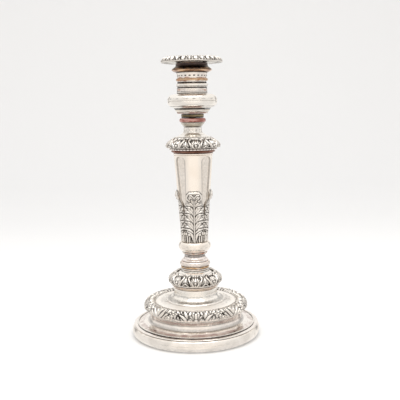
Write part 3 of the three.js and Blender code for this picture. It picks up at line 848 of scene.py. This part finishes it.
spun("ringed_knop", [
    [(6.9, 0), (1.6, 0)],
    [(1.6, 0), (1.1, 0.7), (1.5, 1.5)],
    [(1.5, 1.5), (1.9, 1.8), (1.6, 2.1)],
    [(1.6, 2.1), (0.9, 2.8), (1.2, 3.6)],
    [(1.2, 3.6), (1.6, 3.9), (1.1, 4.2)],
    [(1.1, 4.2), (0.2, 5.4), (0, 7.0), (0.5, 8.4), (1.4, 9.5)],
    [(1.4, 9.5), (6.9, 9.5)],
], GOLD_RUBBED, rubbed=[(0.2, 1.5, 1.4), (2.0, 4.9, 3.4)],
    dirt_and_shade=[(1.6, 1.9, 0.9), (3.8, 4.1, 0.9), (6.0, 6.3, 0.5)], dots=[(7.6, 8.2, 0.7, 20)])

spun("column_waist", [
    [(7.2, 0), (0.3, 0)],
    [(0.3, 0), (0, 0.5), (0.4, 1.1)],
    [(0.4, 1.1), (2.2, 2.3), (3.5, 4.2), (3.8, 5.6), (3.0, 7.4), (1.5, 8.2)],
    [(1.5, 8.2), (7.2, 8.2)],
], PINK_SILVER, dirt_and_shade=[(0.9, 1.3, 0.5)], dots=[(4.6, 5.4, 0.45, 14)])

spun("column_foot", [
    [(9.9, 0), (3.9, 0)],
    [(3.9, 0), (4.1, 0.9), (3.8, 1.9)],
    [(3.8, 1.9), (2.9, 2.8), (1.2, 4.4), (0.1, 6.6), (0, 7.8), (0.5, 10.6), (1.6, 12.3)],
    [(1.6, 12.3), (2.4, 12.8), (9.9, 12.8)],
], CREAM, rubbed=[(0, 1.8, 3.0)], dots=[(7.0, 7.6, 0.6, 16)])

# ---------------------------------------------------------------- column and leaves
fluted_column(CREAM)
for index, side in enumerate(("right", "back", "left", "front")):
    acanthus_leaf(side, index * QUARTER, CHASED)

spun("column_cap", [
    [(8.1, 0), (0.3, 0)], [(0.3, 0), (0, 0.4), (0, 1.6), (0.3, 2.0)], [(0.3, 2.0), (8.1, 2.0)],
], CREAM)

spun("upper_collar_bead", [
    [(10.2, 0), (1.5, 0)],
    [(1.5, 0), (0.2, 0.8), (0, 1.7), (0.8, 2.6)],
    [(0.8, 2.6), (10.2, 2.6)],
], BROWN_COPPER, dirt_and_shade=[(0, 0.5, 0.5)])

spun("upper_collar_band", [
    [(12.5, 0), (0.4, 0)], [(0.4, 0), (0, 0.8), (0.5, 1.7)], [(0.5, 1.7), (12.5, 1.7)],
], PINK_SILVER, dots=[(0.3, 1.4, 0.8, 44)], turns=352)

carried_over("upper_dome", SILVER)

chased_ring(
    "upper_collar",
    [(5.5, 0), (1.2, 0.3), (0, 2.8), (1.4, 5.7), (4.3, 8.4), (9.6, 11.7)],
    [(10.5, 10.1), (5.9, 7.0), (3.7, 3.3), (5.3, 0.4)],
    1.5, lambda across, up: collar_relief(COLLAR_HALF * across, 17.6 * up - 1.4), 8,
    CHASED, turned_by=FRONT + math.radians(6),
)

spun("spool_neck", [
    [(0, 0), (3.0, 0.8), (6.2, 2.1), (9.0, 4.0), (10.3, 6.4), (10.5, 10.7)],
    [(10.5, 10.7), (13.4, 10.7)],
    [(13.4, 10.7), (13.4, 5.5), (10.8, 2.3), (6.4, 0)],
], SILVER, dirt_and_shade=[(9.9, 10.7, 0.6), (2.3, 2.9, 0.5)], dots=[(6.6, 8.2, 0.55, 16)])

# the cup is the underside of the knop ring, painted grey as shade
spun("knop_cup", [
    [(7.4, 0), (3.4, 0)], [(3.4, 0), (2.8, 1.0), (1.2, 2.6), (0, 4.5)], [(0, 4.5), (7.4, 4.5)],
], UNDERSIDE_SHADE, dirt_and_shade=[(0.0, 0.6, 0.6)])

spun("knop_ring", [
    [(8.5, 0), (0.9, 0)],
    [(0.9, 0), (0.1, 1.1), (0, 2.4), (0.3, 3.4), (1.0, 4.4)],
    [(1.0, 4.4), (8.5, 4.4)],
], RED_COPPER)

# the dark bands at both ends of the neck are painted shade beside the ring and the calyx
spun("knop_neck", [
    [(6.7, 0), (0.5, 0)],
    [(0.5, 0), (0.6, 1.7)],
    [(0.6, 1.7), (0, 2.5), (0.5, 3.3)],
    [(0.5, 3.3), (0.4, 4.1)],
    [(0.4, 4.1), (6.7, 4.1)],
], OLIVE_SHADE, dirt_and_shade=[(0.0, 1.4, 0.9), (3.0, 4.1, 0.8)])

# ---------------------------------------------------------------- socket
spun("socket_calyx", [
    [(13.4, 0), (4.9, 0)],
    [(4.9, 0), (2.8, 0.3), (2.3, 0.9), (2.4, 1.6)],
    [(2.4, 1.6), (1.4, 2.5), (0.9, 3.3)],
    [(0.9, 3.3), (0.6, 3.7), (0, 5.1)],
    [(0, 5.1), (1.6, 5.1)],
    [(1.6, 5.1), (2.9, 3.9), (13.4, 3.1)],
], CALYX_SILVER, rubbed=[(0, 1.3, 3.4)], dirt_and_shade=[(1.4, 1.8, 0.7), (3.2, 3.5, 0.5), (4.3, 5.1, 1.2)])

spun("socket_bulb_lower", [
    [(8.7, 0), (7.4, 0)],
    [(7.4, 0), (6.7, 0.8), (5.4, 1.3)],
    [(5.4, 1.3), (4.6, 1.7), (2.6, 2.7), (1.0, 4.1), (0.15, 6.0), (0, 8.0)],
    [(0, 8.0), (1.2, 8.0)],
    [(1.2, 8.0), (2.2, 4.7), (5.5, 2.8), (8.7, 1.4)],
], SILVER, dirt_and_shade=[(0, 0.5, 1.2), (2.2, 2.7, 1.0)])

spun("socket_bulb_upper", [
    [(0, -0.2), (0.2, 2.2), (0.9, 4.2), (2.3, 5.8), (4.6, 7.0), (9.2, 7.8)],
    [(9.2, 7.8), (12.9, 7.8)],
    [(12.9, 7.8), (12.9, 6.7), (5.1, 5.3)],
    [(5.1, 5.3), (2.2, 3.2), (1.2, -0.2)],
], SILVER, dots=[(1.6, 2.4, 0.6, 17), (2.4, 2.9, 0.5, 29)])

spun("socket_liner", [
    [(LINER_INSET, 0), (0, 0)], [(0, 0), (0, 42.4)], [(0, 42.4), (0.9, 42.4)],
    [(0.9, 42.4), (0.9, 1.2)], [(0.9, 1.2), (LINER_INSET, 1.2)],
], INSIDE)

spun("socket_barrel", [
    [(3.1, 0), (0.4, 0)],
    [(0.4, 0), (0.2, 0.7), (0.5, 1.4)],
    [(0.5, 1.4), (0.75, 1.75), (0.5, 2.1)],
    [(0.5, 2.1), (0.45, 5.2)],
    [(0.45, 5.2), (1.2, 6.2), (1.3, 7.2)],
    [(1.3, 7.2), (1.3, 16.0)],
    [(1.3, 16.0), (1.0, 17.6), (0.6, 20.0), (0, 22.1)],
    [(0, 22.1), (3.1, 22.1)],
], BARREL_SILVER, rubbed=[(2.2, 4.8, 1.9), (12.4, 13.0, 3.0), (15.9, 17.0, 3.0)],
    dots=[(17.9, 19.2, 1.1, 22)],
    dirt_and_shade=[(0.0, 0.5, 1.2), (1.5, 2.1, 1.1), (5.1, 6.8, 1.0), (10.2, 12.1, 1.0), (21.5, 22.1, 0.8)])

BARREL_RING = [[(1.25, 0), (0.5, 0.15), (0, 1.5), (0.5, 2.85), (1.25, 3.0)]]
spun("barrel_ring_lower", BARREL_RING, SILVER, dirt_and_shade=[(0, 0.4, 0.9)])
spun("barrel_ring_upper", BARREL_RING, COPPERY)

spun("socket_lip", [
    [(7.8, 0), (4.5, 0)],
    [(4.5, 0), (2.6, 0.4), (1.0, 1.3), (0, 2.1)],
    [(0, 2.1), (0.2, 2.5), (7.8, 2.5)],
], LIP_COPPER, dirt_and_shade=[(0, 0.3, 0.8)])

# ---------------------------------------------------------------- loose nozzle
spun("nozzle_tube", [
    [(0.9, 0), (0, 0)], [(0, 0), (0, 33.4)], [(0, 33.4), (0.9, 33.4)], [(0.9, 33.4), (0.9, 0)],
], INSIDE, body=NOZZLE)

# the collar is painted near-black as shade under the pan
spun("nozzle_collar", [
    [(0, 0.3), (2.2, 2.0), (4.3, 3.6)],
    [(4.3, 3.6), (4.1, 3.9), (4.5, 4.2)],
    [(4.5, 4.2), (4.5, 7.0)],
    [(4.5, 7.0), (5.8, 7.0)],
    [(5.8, 7.0), (5.8, 4.2), (4.9, 2.5), (1.6, 0)],
    [(1.6, 0), (0.2, 0)],
], UNDER_PAN_SHADE, body=NOZZLE, rubbed=[(0.0, 1.3, 2.0)])

# the pan is seen from below: its grey is painted shade on the underside
spun("nozzle_pan", [
    [(14.5, 0), (2.4, 0)],
    [(2.4, 0), (1.0, 0.7), (0, 1.5)],
    [(0, 1.5), (0.8, 2.7)],
    [(0.8, 2.7), (2.4, 1.5), (6.0, 1.1), (14.5, 1.1)],
], UNDERSIDE_SHADE, body=NOZZLE)

chased_ring(
    "nozzle_border",
    [(0.6, 0.2), (0, 0.9), (0.7, 3.0), (2.7, 5.0), (5.3, 6.2), (6.9, 5.4), (7.4, 3.5)],
    [(6.4, 2.2), (3.2, 0.6), (1.2, 0)],
    1.3, lambda across, up: nozzle_relief(NOZZLE_HALF * across, 14.6 * up - 0.4), 15,
    CHASED, body=NOZZLE, steps=840, turned_by=FRONT + math.radians(8),
)


# ---------------------------------------------------------------- studio
PAPER_NEAR = (0.95, 0.953, 0.956)
PAPER_FAR_SHADE = (0.812, 0.819, 0.828)


def paper_material(name):
    """Matt white paper, painted a little greyer up the backdrop as shade where less light reaches."""
    material, tree, shader = new_material(name)
    split = tree.nodes.new("ShaderNodeSeparateXYZ")
    tree.links.new(tree.nodes.new("ShaderNodeTexCoord").outputs["Object"], split.inputs["Vector"])
    # painted shade: the paper greys with distance back from the table
    distance = remap(tree, split.outputs["Y"], 0.2, 1.0)
    tree.links.new(blend_colour(tree, distance, PAPER_NEAR, PAPER_FAR_SHADE), shader.inputs["Base Color"])
    shader.inputs["Roughness"].default_value = 0.8
    return material


def sweep(name, width, front, wall, rise, bend):
    """Pale floor that curves up into a backdrop."""
    line = [(-front, 0.0), (wall - bend, 0.0)]
    line += [
        (wall - bend + bend * math.sin(angle), bend - bend * math.cos(angle))
        for angle in np.linspace(0, math.pi / 2, 14)[1:]
    ]
    line.append((wall, rise))
    points = [(side * width, depth, height) for depth, height in line for side in (-1, 1)]
    faces = [(2 * step, 2 * step + 1, 2 * step + 3, 2 * step + 2) for step in range(len(line) - 1)]
    mesh = bpy.data.meshes.new(name)
    mesh.from_pydata(points, [], faces)
    mesh.materials.append(paper_material(name))
    backdrop = bpy.data.objects.new(name, mesh)
    bpy.context.scene.collection.objects.link(backdrop)
    mesh.shade_smooth()
    backdrop.visible_glossy = False


sweep("studio_sweep", width=3.0, front=2.2, wall=1.6, rise=3.2, bend=0.9)


def softbox(name, at, aim, size, power):
    """White rectangular area light pointing at aim."""
    light = bpy.data.lights.new(name, "AREA")
    light.shape = "RECTANGLE"
    light.size, light.size_y = size
    light.energy = power
    lamp = bpy.data.objects.new(name, light)
    lamp.location = at
    lamp.rotation_euler = (Vector(aim) - Vector(at)).to_track_quat("-Z", "Y").to_euler()
    bpy.context.scene.collection.objects.link(lamp)


softbox("top_softbox", (0, -0.3, 1.6), (0, 0, 0), (1.4, 1.2), 9)


def band(tree, value, low, high, soft):
    """1 between low and high, fading to 0 over the width soft."""
    rising = remap(tree, value, low - soft, low)
    falling = remap(tree, value, high, high + soft, 1.0, 0.0)
    return combine(tree, "MULTIPLY", rising, falling)


TENT_SIDES = (0.86, 0.84, 0.82)
TENT_BEHIND_VIEWER = (1.05, 1.0, 0.945)
TENT_BEHIND_OBJECT = (1.0, 0.98, 0.955)
TENT_OVERHEAD = (1.03, 1.01, 0.985)
TENT_SEAM = (0.06, 0.05, 0.05)
PLAIN_BACKGROUND = (0.90, 0.905, 0.91)
TENT_STRENGTH = 0.98


def light_tent():
    """White tent round the table: cream behind the viewer, greyer at the sides, with thin dark seams.

    It shows in reflections only; the camera itself sees a plain background.
    """
    world = bpy.data.worlds.new("light_tent")
    world.use_nodes = True
    tree = world.node_tree
    direction = tree.nodes.new("ShaderNodeTexCoord").outputs["Generated"]
    split = tree.nodes.new("ShaderNodeSeparateXYZ")
    tree.links.new(direction, split.inputs["Vector"])
    depth, rise = split.outputs["Y"], split.outputs["Z"]
    behind_viewer = remap(tree, depth, -0.55, -0.9)
    behind_object = remap(tree, depth, 0.25, 0.6)
    overhead = remap(tree, rise, 0.28, 0.62)
    colour = blend_colour(tree, behind_viewer, TENT_SIDES, TENT_BEHIND_VIEWER)
    colour = blend_colour(tree, behind_object, colour, TENT_BEHIND_OBJECT)
    colour = blend_colour(tree, overhead, colour, TENT_OVERHEAD)
    side_seam = band(tree, depth, 0.72, 0.82, 0.05)
    side_seam = combine(tree, "MULTIPLY", side_seam, band(tree, rise, -0.08, 0.3, 0.05))
    side_seam = combine(tree, "MULTIPLY", side_seam, 0.75)
    ripple = tree.nodes.new("ShaderNodeTexNoise")
    ripple.inputs["Scale"].default_value = 5.0
    tree.links.new(direction, ripple.inputs["Vector"])
    wander = remap(tree, ripple.outputs["Fac"], 0.3, 0.7, -0.07, 0.07)
    level = combine(tree, "ADD", rise, wander)
    front_seam = band(tree, level, 0.02, 0.055, 0.015)
    front_seam = combine(tree, "MULTIPLY", front_seam, remap(tree, depth, -0.2, -0.5))
    front_seam = combine(tree, "MULTIPLY", front_seam, 0.45)
    seams = combine(tree, "MAXIMUM", side_seam, front_seam)
    seams = combine(tree, "MULTIPLY", seams, 0.85)
    colour = blend_colour(tree, seams, colour, TENT_SEAM)
    seen_directly = tree.nodes.new("ShaderNodeLightPath").outputs["Is Camera Ray"]
    colour = blend_colour(tree, seen_directly, colour, PLAIN_BACKGROUND)
    background = tree.nodes["Background"]
    tree.links.new(colour, background.inputs["Color"])
    background.inputs["Strength"].default_value = TENT_STRENGTH
    bpy.context.scene.world = world


light_tent()
bpy.context.scene.view_settings.view_transform = "Standard"

# ---------------------------------------------------------------- camera
CAMERA_BACK = 0.734  # metres from the middle, as CAMERA_HEIGHT is above the table
CAMERA_HEIGHT = 0.2492
CAMERA_PITCH = math.radians(7.65)
CAMERA_YAW = math.radians(0.52)
CAMERA_ROLL = math.radians(0.92)
CAMERA_LENS = 60.3
CAMERA_SENSOR = 36.0  # width, in mm like the lens

camera = bpy.data.objects.new("camera", bpy.data.cameras.new("camera"))
bpy.context.scene.collection.objects.link(camera)
camera.data.lens = CAMERA_LENS
camera.data.sensor_width = CAMERA_SENSOR
turn = Matrix.Rotation(-CAMERA_YAW, 4, "Z") @ Matrix.Rotation(math.pi / 2 - CAMERA_PITCH, 4, "X")
camera.matrix_world = (
    Matrix.Translation((0, -CAMERA_BACK, CAMERA_HEIGHT)) @ turn @ Matrix.Rotation(-CAMERA_ROLL, 4, "Z")
)
bpy.context.scene.camera = camera
